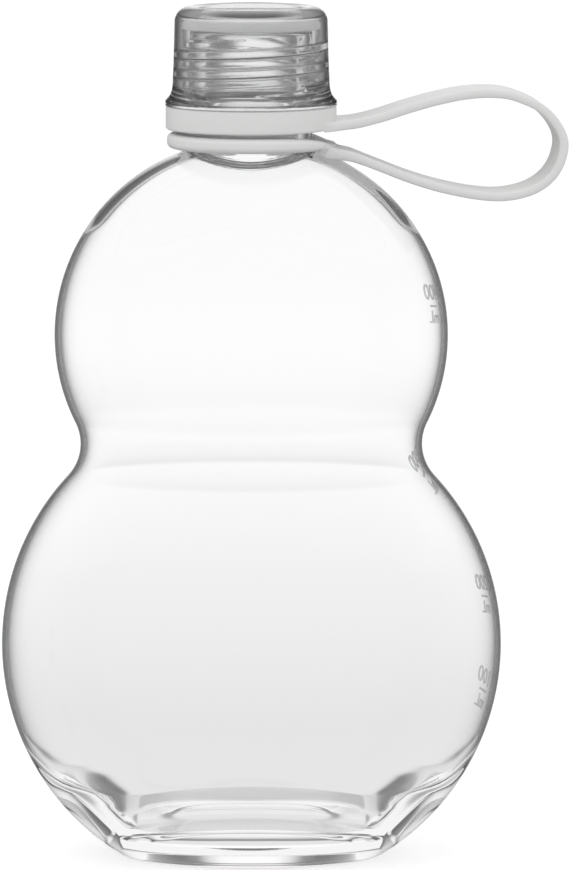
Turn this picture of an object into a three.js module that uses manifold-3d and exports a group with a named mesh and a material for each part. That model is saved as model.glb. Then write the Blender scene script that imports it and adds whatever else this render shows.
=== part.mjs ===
// Gourd water bottle with a screw cap and a looped carrying strap.
// Millimetres, +Z up. The origin is the centre of the flat foot, the front faces -Y and the strap's
// loop hangs towards +X.
import * as THREE from "three";
import { mergeVertices } from "three/addons/utils/BufferGeometryUtils.js";
import Module from "manifold-3d";

const wasm = await Module();
wasm.setup();

// Shared fits
const gap = 0.3;               // between pieces that sit on or in each other
const overrun = 0.4;           // how far a thread ridge is let into the wall that carries it
const roundSegments = 40;      // flats round every round piece

// Bottle body: two flattened balls joined by a hollow waist
const lowerRadius = 51;        // half the width of the lower ball
const footHalfWidth = 26.5;    // half the width of the flat foot
const upperRadius = 40;        // half the width of the upper ball
const ballSpacing = 63.4;      // from the lower ball's centre up to the upper ball's
const waistRound = 9.7;        // radius of the hollow between the balls
const flatness = 0.65;         // the body's depth over its width

// Bottle walls
const lowerWall = 1.2;
const upperWall = 1.4;
const shoulderWall = 2.2;      // wall at the two sides of the shoulder, next to the neck
const shoulderStart = 33;      // degrees above the upper ball's middle where the sides start to thicken
const shoulderFull = 38;       // degrees above the upper ball's middle where they are thickest
const floorThickness = 5.8;    // in the middle of the floor
const floorRise = 3.1;         // how much higher the floor is in front and behind than in the middle
const floorHalfWidth = 24.5;   // half the inside width of the floor
const heelHeight = 25;         // where the sides' thick heel runs out into the thin wall
// Inside outline of the heel's sides, from the floor to the thin wall: share of the way out, share of the
// way up
const heelShares = [[0.12, 0.06], [0.326, 0.3], [0.53, 0.485], [0.64, 0.535], [0.85, 0.75]];

// Neck
const neckRadius = 12.4;
const neckBore = 9.8;
const neckLength = 24;         // from the shoulder to the mouth
const lipRound = 0.6;

// Screw thread, one start, right-handed; the neck's ridge begins at the front
const threadPitch = 3.93;
const threadDepth = 1.6;
const threadCrest = 0.9;       // width of the ridge at its crest
const threadRoot = 2.3;        // width of the ridge at its root
const neckThreadTurns = 3;
const capThreadTurns = 1.3;
const capThreadEnd = 1;        // turns from the start of the neck's ridge to the end of the cap's
const threadTop = 2;           // from the mouth down to the middle of the highest ridge
const threadFront = -0.25;     // the part of a turn from +X round to the front
const threadSteps = 24;        // steps in one turn of a ridge
const threadLead = 0.12;       // part of a turn in which a ridge rises from the wall
const threadStubShare = 0.1;   // share of its height that a ridge has at its very end, inside the wall

// Cap and liner
const linerThickness = 2.2;
const capWall = 1.6;
const capDraft = 0.4;          // how much narrower the cap is at its top
const capTopThickness = 1.3;
const capDish = 0.7;           // depth of the dish in the cap's top
const capRimWidth = 1.6;       // from the dish to the start of the rounded shoulder
const capRound = 3.1;          // rounding between the cap's top and its side
const capHeight = 19.7;        // from the flare's underside to the top
const flareWidth = 1.6;        // how far the flare stands out from the side
const flareHeight = 3.6;
const flareEdge = 0.5;         // height of the flare's upright edge
const skirtLength = 4.1;       // the part below the flare that the strap's ring sits on
const skirtWall = 1.1;
const skirtBead = 0.5;         // how far the bead that keeps the ring on stands out
const beadHeight = 0.9;

// Strap
const capRingHeight = 4.8;
const capRingWall = 1.65;
const neckRingHeight = 3.1;
const neckRingRadius = 17.1;
const neckRingUndercut = 0.15; // how far the ring's outside reaches below its inside, over the shoulder
const ringRound = 0.8;
const bandWidth = 14;
const bandThickness = 1.8;
const bandRound = 0.4;
const bandOnCapRing = 1.15;    // from the cap ring's lower face up to the band's middle
const bandOnNeckRing = 0.45;   // from the neck ring's lower edge up to the band's middle
const loopReach = 45.4;        // from the cap ring out to the loop's far end
const loopRise = 6.4;          // from the band's start on the cap ring up to the loop's top
const loopDrop = 10.2;         // from the band's end on the neck ring down to the loop's bottom
const loopSteps = 56;
const loopSwing = 4.5;         // degrees that the loop hangs towards the back
// Route of the loop's middle: share of the reach, share of the rise (upper) or of the drop (lower)
const upperLoopShares = [[0, 0], [0.076, 0], [0.193, 0.25], [0.31, 0.5], [0.465, 0.8], [0.681, 1],
  [0.825, 0.797], [0.937, 0.28]];
const lowerLoopShares = [[1, -0.04], [0.96, 0.53], [0.87, 0.86], [0.727, 1], [0.453, 0.816], [0.314, 0.605],
  [0.081, 0.205], [0.03, 0.05], [0, 0]];

// Heights and radii that follow from the sizes above
const lowerCentre = Math.sqrt(lowerRadius ** 2 - footHalfWidth ** 2);
const upperCentre = lowerCentre + ballSpacing;
const shoulderTop = upperCentre + Math.sqrt(upperRadius ** 2 - neckRadius ** 2);
const mouthHeight = shoulderTop + neckLength;
const threadStart = mouthHeight - threadTop - threadPitch * neckThreadTurns;
const threadRadius = neckRadius + threadDepth;
const capBore = threadRadius + gap;
const capRadius = capBore + capWall;
const flareRadius = capRadius + flareWidth;
const linerBottom = mouthHeight + gap;
const linerTop = linerBottom + linerThickness;
const capCeiling = linerTop + gap;
const capTop = capCeiling + capTopThickness + capDish;
const flareBottom = capTop - capHeight;
const skirtBottom = flareBottom - skirtLength;
const skirtRadius = capBore + skirtWall;
const beadRadius = skirtRadius + skirtBead;
const beadTop = skirtBottom + beadHeight;
const capRingBore = skirtRadius + gap;
const capRingRadius = capRingBore + capRingWall;
const capRingTop = flareBottom - gap;
const capRingBottom = capRingTop - capRingHeight;
const neckRingBore = neckRadius + gap;
const neckRingInside = shoulderTop + gap;
const neckRingBottom = neckRingInside - neckRingUndercut;
const neckRingTop = neckRingBottom + neckRingHeight;

function radians(degrees) {
  return degrees * Math.PI / 180;
}

// Points [radius, height] of an arc round [centreRadius, centreHeight], both ends included.
function arc(centreRadius, centreHeight, radius, from, to, steps) {
  const points = [];
  for (let i = 0; i <= steps; i += 1) {
    const angle = from + (to - from) * i / steps;
    points.push([centreRadius + radius * Math.cos(angle), centreHeight + radius * Math.sin(angle)]);
  }
  return points;
}

// Centre [radius, height] of the waist's round, which touches both balls from outside.
function waistCentre(lower, upper, round) {
  const toLower = lower + round;
  const toUpper = upper + round;
  const rise = (toLower ** 2 - toUpper ** 2 + ballSpacing ** 2) / (2 * ballSpacing);
  return [Math.sqrt(toLower ** 2 - rise ** 2), lowerCentre + rise];
}

// Lower ball, waist and upper ball as one smooth outline, from one angle to another.
function gourdOutline(lower, upper, round, startAngle, endAngle) {
  const [waistOut, waistHeight] = waistCentre(lower, upper, round);
  const lowerTouch = Math.atan2(waistHeight - lowerCentre, waistOut);
  const upperTouch = Math.atan2(upperCentre - waistHeight, waistOut);
  return [
    ...arc(0, lowerCentre, lower, startAngle, lowerTouch, 12),
    ...arc(waistOut, waistHeight, round, Math.PI + lowerTouch, Math.PI - upperTouch, 5).slice(1, -1),
    ...arc(0, upperCentre, upper, -upperTouch, endAngle, 10),
  ];
}

// Station of the body at a point of its outline: half-width, half-depth, height, the radius of the round
// neck that stands out of the flattened upper ball wherever it is wider than the ball, how far out the
// station's two sides may reach, and how much higher it runs in front and behind than at its sides.
function bodyStation(halfWidth, height, wall, roundRadius, sideLimit = halfWidth, rise = 0) {
  const halfDepth = flatness * (halfWidth + wall) - wall;
  return [halfWidth, halfDepth, height, height > upperCentre ? roundRadius : 0, sideLimit, rise];
}

function roundStation(radius, height) {
  return [radius, radius, height, radius, radius, 0];
}

function outerStations() {
  const footAngle = -Math.asin(lowerCentre / lowerRadius);
  const neckAngle = Math.acos(neckRadius / upperRadius);
  const outline = gourdOutline(lowerRadius, upperRadius, waistRound, footAngle, neckAngle);
  return [
    roundStation(0, 0),
    ...outline.map(([halfWidth, height]) => bodyStation(halfWidth, height, 0, neckRadius)),
    roundStation(neckRadius, mouthHeight - lipRound),
    roundStation(neckRadius - lipRound, mouthHeight),
  ];
}

// Half-width of a ball at a height.
function ballHalfWidth(radius, centreHeight, height) {
  return Math.sqrt(radius ** 2 - (height - centreHeight) ** 2);
}

// Inside of the heel, from the floor's edge up to the thin wall. In front and behind the wall stays thin.
function heelStations(lower) {
  const out = ballHalfWidth(lower, lowerCentre, heelHeight) - floorHalfWidth;
  return [[0, 0], ...heelShares].map(([outShare, upShare]) => {
    const height = floorThickness + (heelHeight - floorThickness) * upShare;
    const halfWidth = ballHalfWidth(lower, lowerCentre, height);
    const rise = floorRise * (1 - upShare) ** 3;
    return bodyStation(halfWidth, height, lowerWall, 0, floorHalfWidth + out * outShare, rise);
  });
}

// Inside of the shoulder, from where its sides start to thicken up to the neck's bore.
function shoulderStations(upper) {
  const thick = upperRadius - shoulderWall;
  const outline = arc(0, upperCentre, upper, radians(shoulderFull), Math.acos(neckBore / upper), 5);
  return outline.map(([halfWidth, height]) => {
    const sideLimit = Math.min(halfWidth, ballHalfWidth(thick, upperCentre, height));
    return bodyStation(halfWidth, height, upperWall, neckBore, sideLimit);
  });
}

function innerStations() {
  const lower = lowerRadius - lowerWall;
  const upper = upperRadius - upperWall;
  const heelAngle = Math.asin((heelHeight - lowerCentre) / lower);
  const body = gourdOutline(lower, upper, waistRound + upperWall, heelAngle, radians(shoulderStart));
  const walled = (points, wall) => points.map(([out, height]) => bodyStation(out, height, wall, neckBore));
  return [
    roundStation(0, floorThickness),
    ...heelStations(lower),
    ...walled(body.filter(([, height]) => height <= upperCentre), lowerWall),
    ...walled(body.filter(([, height]) => height > upperCentre), upperWall),
    ...shoulderStations(upper),
    roundStation(neckBore, mouthHeight - lipRound),
    roundStation(neckBore + lipRound, mouthHeight),
  ];
}

// Turned solid of an outline [radius, height] that runs up the outside and down the inside.
function turned(outline) {
  const profile = outline.map(([radius, height]) => new THREE.Vector2(radius, height));
  const geometry = new THREE.LatheGeometry(profile, roundSegments);
  geometry.rotateX(Math.PI / 2);
  return geometry;
}

// Turned solid whose rings are then squeezed front to back, each to its own depth, cut off at its side limit
// and raised in front and behind, but never to less than the round radius of its station.
function oval(stations) {
  const geometry = turned(stations.map(([halfWidth, , height]) => [halfWidth, height]));
  const position = geometry.attributes.position;
  for (let i = 0; i < position.count; i += 1) {
    const [halfWidth, halfDepth, height, roundRadius, sideLimit, rise] = stations[i % stations.length];
    if (halfWidth > 0) {
      const across = Math.max(-sideLimit, Math.min(sideLimit, position.getX(i)));
      const deepShare = position.getY(i) / halfWidth;
      const push = Math.max(1, roundRadius / Math.hypot(across, halfDepth * deepShare));
      position.setXYZ(i, across * push, halfDepth * deepShare * push, height + rise * deepShare ** 2);
    }
  }
  return geometry;
}

// Closed ring of an outline [radius, height] that runs up the outside and down the inside.
function ring(outline) {
  return turned([...outline, outline[0]]);
}

function toSolid(geometry) {
  const plain = geometry.clone();
  plain.deleteAttribute("normal");
  plain.deleteAttribute("uv");
  const merged = mergeVertices(plain, gap / 1000);
  return new wasm.Manifold(new wasm.Mesh({
    numProp: 3,
    vertProperties: new Float32Array(merged.attributes.position.array),
    triVerts: new Uint32Array(merged.index.array),
  }));
}

function toGeometry(solid) {
  const mesh = solid.getMesh();
  const geometry = new THREE.BufferGeometry();
  geometry.setAttribute("position", new THREE.BufferAttribute(new Float32Array(mesh.vertProperties), 3));
  geometry.setIndex(new THREE.BufferAttribute(new Uint32Array(mesh.triVerts), 1));
  geometry.computeVertexNormals();
  return geometry;
}

// Helical ridge of a screw thread. The wall radius is where it stands and the crest radius where it ends.
// It begins a number of turns away from the front, and the height is that of its middle at the front.
function threadRidge(wallRadius, crestRadius, frontHeight, begin, turns) {
  const outward = Math.sign(crestRadius - wallRadius);
  const sunk = wallRadius - outward * overrun;
  const steps = Math.round(turns * threadSteps);
  const points = [];
  const faces = [];
  for (let i = 0; i <= steps; i += 1) {
    const turn = turns * i / steps;
    const rise = Math.max(threadStubShare, Math.min(1, turn / threadLead, (turns - turn) / threadLead));
    const crest = sunk + (crestRadius - sunk) * rise;
    const angle = 2 * Math.PI * (threadFront + begin + turn);
    const height = frontHeight + threadPitch * (begin + turn);
    const section = [
      [sunk, -threadRoot / 2],
      [crest, -threadCrest / 2],
      [crest, threadCrest / 2],
      [sunk, threadRoot / 2],
    ];
    for (const [radius, offset] of section) {
      points.push(radius * Math.cos(angle), radius * Math.sin(angle), height + offset);
    }
  }
  const face = (a, b, c) => faces.push(...(outward > 0 ? [a, b, c] : [a, c, b]));
  for (let i = 0; i < steps; i += 1) {
    for (let side = 0; side < 4; side += 1) {
      const next = (side + 1) % 4;
      face(4 * i + side, 4 * i + 4 + side, 4 * i + next);
      face(4 * i + next, 4 * i + 4 + side, 4 * i + 4 + next);
    }
  }
  const last = 4 * steps;
  face(0, 1, 2);
  face(0, 2, 3);
  face(last, last + 2, last + 1);
  face(last, last + 3, last + 2);
  const geometry = new THREE.BufferGeometry();
  geometry.setAttribute("position", new THREE.Float32BufferAttribute(points, 3));
  geometry.setIndex(faces);
  return geometry;
}

function bottleShape() {
  const shell = oval([...outerStations(), ...innerStations().reverse()]);
  const ridge = threadRidge(neckRadius, threadRadius, threadStart, 0, neckThreadTurns);
  return toGeometry(toSolid(shell).add(toSolid(ridge)));
}

function capOutline() {
  const rimRadius = capRadius - capDraft - capRound;
  const dishRadius = rimRadius - capRimWidth;
  return [
    [capBore, skirtBottom],
    [beadRadius - skirtBead / 2, skirtBottom],
    [beadRadius, skirtBottom + beadHeight / 3],
    [beadRadius, beadTop - beadHeight / 3],
    [skirtRadius, beadTop],
    [skirtRadius, flareBottom],
    [flareRadius, flareBottom],
    [flareRadius, flareBottom + flareEdge],
    [capRadius + flareWidth / 3, flareBottom + flareHeight / 2],
    [capRadius, flareBottom + flareHeight],
    ...arc(rimRadius, capTop - capRound, capRound, 0, Math.PI / 2, 4),
    [dishRadius, capTop],
    [dishRadius - capDish, capTop - capDish],
    [0, capTop - capDish],
  ];
}

function capShape() {
  const shell = turned([[0, capCeiling], [capBore, capCeiling], ...capOutline()]);
  const begin = capThreadEnd - capThreadTurns;
  const front = threadStart + threadPitch / 2;
  const ridge = threadRidge(capBore, neckRadius + gap, front, begin, capThreadTurns);
  return toGeometry(toSolid(shell).add(toSolid(ridge)));
}

function linerShape() {
  const radius = capBore - gap;
  return turned([[0, linerBottom], [radius, linerBottom], [radius, linerTop], [0, linerTop]]);
}

function capRingShape() {
  const rebate = beadRadius + gap;
  const ledge = beadTop + gap;
  return ring([
    [rebate, capRingBottom],
    [capRingRadius - ringRound, capRingBottom],
    [capRingRadius, capRingBottom + ringRound],
    [capRingRadius, capRingTop],
    [capRingBore, capRingTop],
    [capRingBore, ledge],
    [rebate, ledge],
  ]);
}

function neckRingShape() {
  return ring([
    [neckRingBore, neckRingInside],
    [neckRingRadius - ringRound, neckRingBottom],
    [neckRingRadius, neckRingBottom + ringRound],
    [neckRingRadius, neckRingTop - ringRound],
    [neckRingRadius - ringRound, neckRingTop],
    [neckRingBore, neckRingTop],
  ]);
}

// Middle line of the loop, out from the cap ring, round the far end and back to the neck ring. Both ends
// run on into the ring, where they are cut to its outside.
function loopRoute() {
  const farEnd = capRingRadius + gap + loopReach;
  const upperStart = capRingBottom + bandOnCapRing;
  const lowerEnd = neckRingBottom + bandOnNeckRing;
  const place = (start, height, rise) => ([out, up]) => (
    new THREE.Vector3(start + (farEnd - start) * out, 0, height + rise * up)
  );
  const upper = upperLoopShares.map(place(capRingRadius + gap, upperStart, loopRise));
  const lower = lowerLoopShares.map(place(neckRingRadius + gap, lowerEnd, -loopDrop));
  const inside = capRingRadius - bandWidth / 2;
  return new THREE.CatmullRomCurve3([
    new THREE.Vector3(inside, 0, upperStart),
    ...upper,
    ...lower,
    new THREE.Vector3(inside, 0, lowerEnd),
  ]);
}

// Round space that a ring and its clearance take up, from one height to another.
function ringSpace(radius, bottom, top) {
  return toSolid(turned([[0, bottom], [radius + gap, bottom], [radius + gap, top], [0, top]]));
}

// The route starts level, so the section's first direction is the band's thickness.
function loopShape() {
  const across = bandWidth / 2;
  const thick = bandThickness / 2;
  const section = new THREE.Shape([
    new THREE.Vector2(-thick, -across + bandRound),
    new THREE.Vector2(-thick + bandRound, -across),
    new THREE.Vector2(thick - bandRound, -across),
    new THREE.Vector2(thick, -across + bandRound),
    new THREE.Vector2(thick, across - bandRound),
    new THREE.Vector2(thick - bandRound, across),
    new THREE.Vector2(-thick + bandRound, across),
    new THREE.Vector2(-thick, across - bandRound),
  ]);
  const options = { steps: loopSteps, extrudePath: loopRoute(), bevelEnabled: false };
  const band = toSolid(new THREE.ExtrudeGeometry(section, options));
  const middle = (capRingBottom + neckRingTop) / 2;
  const capRingSpace = ringSpace(capRingRadius, middle, capRingTop);
  const neckRingSpace = ringSpace(neckRingRadius, neckRingBottom - bandThickness, middle);
  return toGeometry(band.subtract(capRingSpace).subtract(neckRingSpace));
}

const clearPlastic = new THREE.MeshStandardMaterial({
  color: 0xf2f4f4,
  roughness: 0.05,
  metalness: 0,
  transparent: true,
  opacity: 0.3,
});
const smokyPlastic = new THREE.MeshStandardMaterial({
  color: 0x8f9192,
  roughness: 0.18,
  metalness: 0,
  transparent: true,
  opacity: 0.75,
});
const linerFoam = new THREE.MeshStandardMaterial({ color: 0xd9dad9, roughness: 0.6, metalness: 0 });
const strapRubber = new THREE.MeshStandardMaterial({ color: 0xd2d2d0, roughness: 0.55, metalness: 0 });

function piece(name, geometry, material) {
  const mesh = new THREE.Mesh(geometry, material);
  mesh.name = name;
  return mesh;
}

const strap = new THREE.Group();
strap.rotation.z = radians(loopSwing);
strap.add(
  piece("strap_cap_ring", capRingShape(), strapRubber),
  piece("strap_loop", loopShape(), strapRubber),
  piece("strap_neck_ring", neckRingShape(), strapRubber),
);

const group = new THREE.Group();
group.add(
  piece("bottle", bottleShape(), clearPlastic),
  piece("cap", capShape(), smokyPlastic),
  piece("cap_liner", linerShape(), linerFoam),
  strap,
);

export default group;
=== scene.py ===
"""Gourd water bottle with a smoky screw cap and a looped silicone strap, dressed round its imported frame."""
import math

import bmesh
import bpy
import numpy as np
from bpy.props import FloatProperty, FloatVectorProperty, IntProperty, PointerProperty
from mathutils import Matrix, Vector


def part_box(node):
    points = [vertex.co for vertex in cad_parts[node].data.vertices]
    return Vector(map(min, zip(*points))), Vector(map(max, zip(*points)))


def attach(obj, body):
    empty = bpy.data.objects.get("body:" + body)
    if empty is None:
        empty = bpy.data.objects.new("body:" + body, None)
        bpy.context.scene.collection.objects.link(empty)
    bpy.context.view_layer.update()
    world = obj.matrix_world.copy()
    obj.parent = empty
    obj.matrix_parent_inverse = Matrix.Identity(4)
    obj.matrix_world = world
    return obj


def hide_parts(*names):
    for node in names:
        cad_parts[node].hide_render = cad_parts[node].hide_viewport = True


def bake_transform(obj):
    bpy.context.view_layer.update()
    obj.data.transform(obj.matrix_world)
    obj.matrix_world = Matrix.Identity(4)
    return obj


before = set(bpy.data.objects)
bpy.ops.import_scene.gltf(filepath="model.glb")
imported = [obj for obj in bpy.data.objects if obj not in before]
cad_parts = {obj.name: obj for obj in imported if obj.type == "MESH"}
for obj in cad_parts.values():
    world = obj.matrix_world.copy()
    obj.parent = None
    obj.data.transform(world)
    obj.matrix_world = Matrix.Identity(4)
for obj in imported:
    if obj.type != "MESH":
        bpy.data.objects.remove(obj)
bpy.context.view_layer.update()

bl_info = {
    "name": "Gourd water bottle",
    "version": (1, 0, 0),
    "blender": (4, 5, 0),
    "location": "3D View > Sidebar > Bottle",
    "description": "Makes the bottle, its cap with liner, its strap, its volume marks and the stage",
    "category": "Add Mesh",
}

MM = 0.001
TURN = 2 * math.pi
TOUCH = 0.01 * MM       # gap between surfaces that would lie in each other
RIDGE_FOOT = 0.28       # half the width of a thread ridge's foot, as a share of the pitch
RIDGE_FLANK = 0.14      # width of a ridge's flank, as a share of the pitch
RIDGE_FADE = 0.12       # turns over which a ridge fades at each end

bottle_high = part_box("bottle")[1]
cap_low, cap_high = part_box("cap")
liner_low, liner_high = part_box("cap_liner")
cap_ring_low, cap_ring_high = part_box("strap_cap_ring")
neck_ring_low, neck_ring_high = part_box("strap_neck_ring")


def length(name, description, default):
    """Property that holds a length in metres."""
    return FloatProperty(name=name, description=description, default=default, unit="LENGTH",
                         subtype="DISTANCE", precision=5)


def angle_of(name, description, degrees):
    """Property that holds an angle, given in degrees."""
    return FloatProperty(name=name, description=description, default=math.radians(degrees),
                         unit="ROTATION", subtype="ANGLE")


def colour(name, description, default):
    """Property that holds a linear colour."""
    return FloatVectorProperty(name=name, description=description, default=default, subtype="COLOR",
                               size=3, min=0, max=1)


def number(name, description, default):
    """Property that holds a plain number."""
    return FloatProperty(name=name, description=description, default=default)


def share(name, description, default):
    """Property that holds a share of 1."""
    return FloatProperty(name=name, description=description, default=default, min=0, max=1,
                         subtype="FACTOR", precision=3)


class BottleSizes(bpy.types.PropertyGroup):
    """Sizes of the clear bottle."""
    lower_radius: length("Lower ball", "Half the width of the lower ball", bottle_high.x)
    upper_radius: length("Upper ball", "Half the width of the upper ball", 40.0 * MM)
    foot_half_width: length("Foot", "Half the width of the flat foot", 26.5 * MM)
    ball_spacing: length("Ball spacing", "From the lower ball's centre up to the upper ball's", 63.4 * MM)
    waist_round: length("Waist round", "Radius of the hollow between the balls", 9.7 * MM)
    flatness: share("Flatness", "The body's depth over its width", bottle_high.y / bottle_high.x)
    foot_hollow: length("Foot hollow", "Depth of the shallow hollow under the foot", 0.7 * MM)
    foot_round: length("Foot round", "Rounding between the foot and the side", 5.0 * MM)
    lower_wall: length("Lower wall", "Wall of the lower ball", 0.75 * MM)
    upper_wall: length("Upper wall", "Wall of the upper ball", 0.8 * MM)
    shoulder_wall: length("Shoulder wall", "Wall at the two sides of the shoulder", 1.5 * MM)
    floor_thickness: length("Floor", "Thickness of the floor", 5.8 * MM)
    floor_rise: length("Floor rise", "How much higher the floor is in front and behind", 3.1 * MM)
    floor_round: length("Floor round", "Rounding between the floor and the wall", 0.5 * MM)
    side_blend: length("Side blend", "Softness of the edges of the thick sides", 4.0 * MM)
    shoulder_start: angle_of("Shoulder start", "Angle up the upper ball where its sides start to thicken", 31)
    shoulder_full: angle_of("Shoulder full", "Angle up the upper ball where its sides are thickest", 37)
    floor_half_width: length("Floor width", "Half the width of the flat inside the floor", 24.5 * MM)
    heel_height: length("Heel height", "Where the thick heel runs out into the wall", 25.0 * MM)
    neck_radius: length("Neck", "Outer radius of the neck between its thread ridges", 12.4 * MM)
    neck_bore: length("Bore", "Inner radius of the neck", 9.8 * MM)
    neck_blend: length("Neck blend", "Softness of the corner between neck and shoulder", 0.6 * MM)
    bore_blend: length("Bore blend", "Softness of the corner between bore and shoulder", 0.3 * MM)
    lip_round: length("Lip round", "Rounding of the mouth's edges", 0.7 * MM)
    thread_pitch: length("Thread pitch", "Rise of the thread in one turn", 3.93 * MM)
    thread_depth: length("Thread depth", "How far the ridge stands out", 1.1 * MM)
    thread_top: length("Thread top", "From the mouth down to the highest ridge", 2.0 * MM)
    thread_turns: number("Thread turns", "Turns of the neck's ridge", 3.0)
    corner_height: length("Corner height", "Lowest part of the neck, whose rows are closest", 9.0 * MM)
    segments: IntProperty(name="Segments", description="Points round every ring of the body", default=160)


class CapSizes(bpy.types.PropertyGroup):
    """Sizes of the cap and its liner."""
    bore: length("Bore", "Inner radius of the cap", 14.3 * MM)
    wall: length("Wall", "Wall of the cap", 1.6 * MM)
    draft: length("Draft", "How much narrower the cap is at its top", 0.4 * MM)
    dish: length("Dish", "Depth of the dish in the cap's top", 1.1 * MM)
    rim_width: length("Rim", "From the dish to the rounded shoulder", 1.6 * MM)
    shoulder_round: length("Shoulder round", "Rounding between the cap's top and side", 3.1 * MM)
    height: length("Height", "From the flare's underside to the top", 19.7 * MM)
    flare_width: length("Flare width", "How far the flare stands out", 1.6 * MM)
    flare_height: length("Flare height", "Height of the flare", 3.6 * MM)
    flare_edge: length("Flare edge", "Height of the flare's upright edge", 0.5 * MM)
    skirt_wall: length("Skirt wall", "Wall below the flare", 1.1 * MM)
    skirt_bead: length("Skirt bead", "How far the bead below the strap's ring stands out", 0.5 * MM)
    bead_height: length("Bead height", "Height of that bead", 0.9 * MM)
    thread_turns: number("Thread turns", "Turns of the cap's ridge", 2.2)
    thread_end: number("Thread end", "Turns from the neck ridge's start to the end of the cap's", 2.3)
    liner_gap: length("Liner gap", "Between the liner and the cap's ceiling", 0.3 * MM)
    ceiling_round: length("Ceiling round", "Rounding between the ceiling and the bore", 0.5 * MM)
    edge_round: length("Edge round", "Rounding of the skirt's outer edge and the flare's root", 0.3 * MM)
    small_round: length("Small round", "Rounding of the bead and of the bore's and flare's edges", 0.25 * MM)
    flare_round: length("Flare round", "Rounding of the flare's upper edge", 0.2 * MM)
    bead_root: length("Bead root", "Rounding between the bead and the skirt", 0.15 * MM)
    bore_edge: length("Bore edge", "From the skirt's edge up to the bore's first row", 0.4 * MM)
    liner_round: length("Liner round", "Rounding of the liner's edges", 0.3 * MM)
    segments: IntProperty(name="Segments", description="Points round every ring of the cap", default=144)


class StrapSizes(bpy.types.PropertyGroup):
    """Sizes of the one-piece strap."""
    swing: angle_of("Swing", "How far the loop hangs towards the back", 4.5)
    band_width: length("Band width", "Width of the loop's band", 14.0 * MM)
    band_inset: length("Band inset", "How far the band reaches into the rings", 0.9 * MM)
    band_thickness: length("Band thickness", "Thickness of the loop's band", 1.8 * MM)
    band_round: length("Band round", "Rounding of the band's edges", 0.35 * MM)
    on_cap_ring: length("On cap ring", "From the cap ring's lower face up to the band", 0.85 * MM)
    on_neck_ring: length("On neck ring", "From the neck ring's lower edge up to the band", 0.45 * MM)
    curve_inset: length("Curve inset", "How far inside the rings the loop's curve starts", 0.5 * MM)
    reach: length("Reach", "From the cap ring out to the loop's far end", 45.7 * MM)
    rise: length("Rise", "From the band's upper start up to the loop's top", 6.5 * MM)
    drop: length("Drop", "From the band's lower end down to the loop's bottom", 10.2 * MM)
    fillet: length("Fillet", "Round between the band's sides and a ring", 8.0 * MM)
    thick_reach: length("Thick reach", "How far from a ring the band thickens towards it", 7.0 * MM)
    thick_upper: length("Thick upper", "What the band gains on its outside at the cap ring", 0.15 * MM)
    thick_lower: length("Thick lower", "What it gains on its outside at the neck ring", 0.35 * MM)
    thick_upper_inner: length("Thick upper inner", "What it gains inside at the cap ring", 0.05 * MM)
    thick_lower_inner: length("Thick lower inner", "What it gains inside at the neck ring", 0.15 * MM)
    rise_at_band: length("Rise at band", "How much the cap ring's lower edge rises at the band", 0.4 * MM)
    sink_at_band: length("Sink at band", "How much the neck ring's upper edge sinks at the band", 2.4 * MM)
    swell_width: angle_of("Swell width", "Spread round the ring of that rise and that sink", 27)
    cap_ring_round: length("Cap ring round", "Rounding of the cap ring's outer edges", 0.5 * MM)
    neck_ring_round: length("Neck ring round", "Rounding of the neck ring's outer edges", 1.2 * MM)
    ring_inner_round: length("Inner round", "Rounding of the rings' inner edges", 0.35 * MM)
    neck_ring_bore: length("Neck ring bore", "Inner radius of the neck ring", 12.7 * MM)
    neck_ring_undercut: length("Undercut", "How far the neck ring reaches over the shoulder", 0.15 * MM)
    cap_ring_bore: length("Cap ring bore", "Inner radius of the cap ring over the skirt", 15.7 * MM)
    cap_ring_rebate: length("Cap ring rebate", "Inner radius of the cap ring over the bead", 16.2 * MM)
    rebate_height: length("Rebate height", "Height of the cap ring's rebate", 2.2 * MM)
    ledge_round: length("Ledge round", "Rounding of the rebate's ledge", 0.1 * MM)


class MarkSizes(bpy.types.PropertyGroup):
    """Sizes and places of the volume marks on the back of the right side."""
    digit_height: length("Digit height", "Height of the numbers", 3.3 * MM)
    relief: length("Relief", "How far the marks stand out", 0.25 * MM)
    tick_width: length("Tick width", "Length of the tick under each number", 3.4 * MM)
    tick_height: length("Tick height", "Height of the tick", 0.4 * MM)
    row_step: length("Row step", "From the tick's middle to the rows above and below", 1.1 * MM)
    level_400: length("400 mark", "Height of the tick under 400", 112.2 * MM)
    level_300: length("300 mark", "Height of the tick under 300", 78.0 * MM)
    level_200: length("200 mark", "Height of the tick under 200", 52.3 * MM)
    level_100: length("100 mark", "Height of the tick under 100", 32.5 * MM)
    turn_back: angle_of("Turn back", "Angle from the right side to the lower marks", 14.5)
    upper_turn_back: angle_of("Upper turn back", "Angle from the right side to the upper marks", 17)
    lean_share: share("Lean share", "How much of the outline's lean the marks' lines take up", 0.55)


class Finishes(bpy.types.PropertyGroup):
    """Colours of the five finishes."""
    clear: colour("Clear plastic", "Tint of the bottle", (0.989, 0.99, 0.99))
    smoky: colour("Smoky plastic", "Tint of the cap", (0.995, 0.996, 0.998))
    smoke: number("Smoke", "How strongly the cap's plastic dims light, per metre", 30.0)
    foam: colour("Liner foam", "Colour of the liner", (0.97, 0.975, 0.97))
    silicone: colour("Strap silicone", "Colour of the strap", (0.77, 0.77, 0.765))
    # Painted shade: the real marks are clear plastic, and this grey tint stands in for the dark outlines that
    # their relief throws
    mark: colour("Mark", "Tint of the raised marks", (0.62, 0.63, 0.63))


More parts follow.
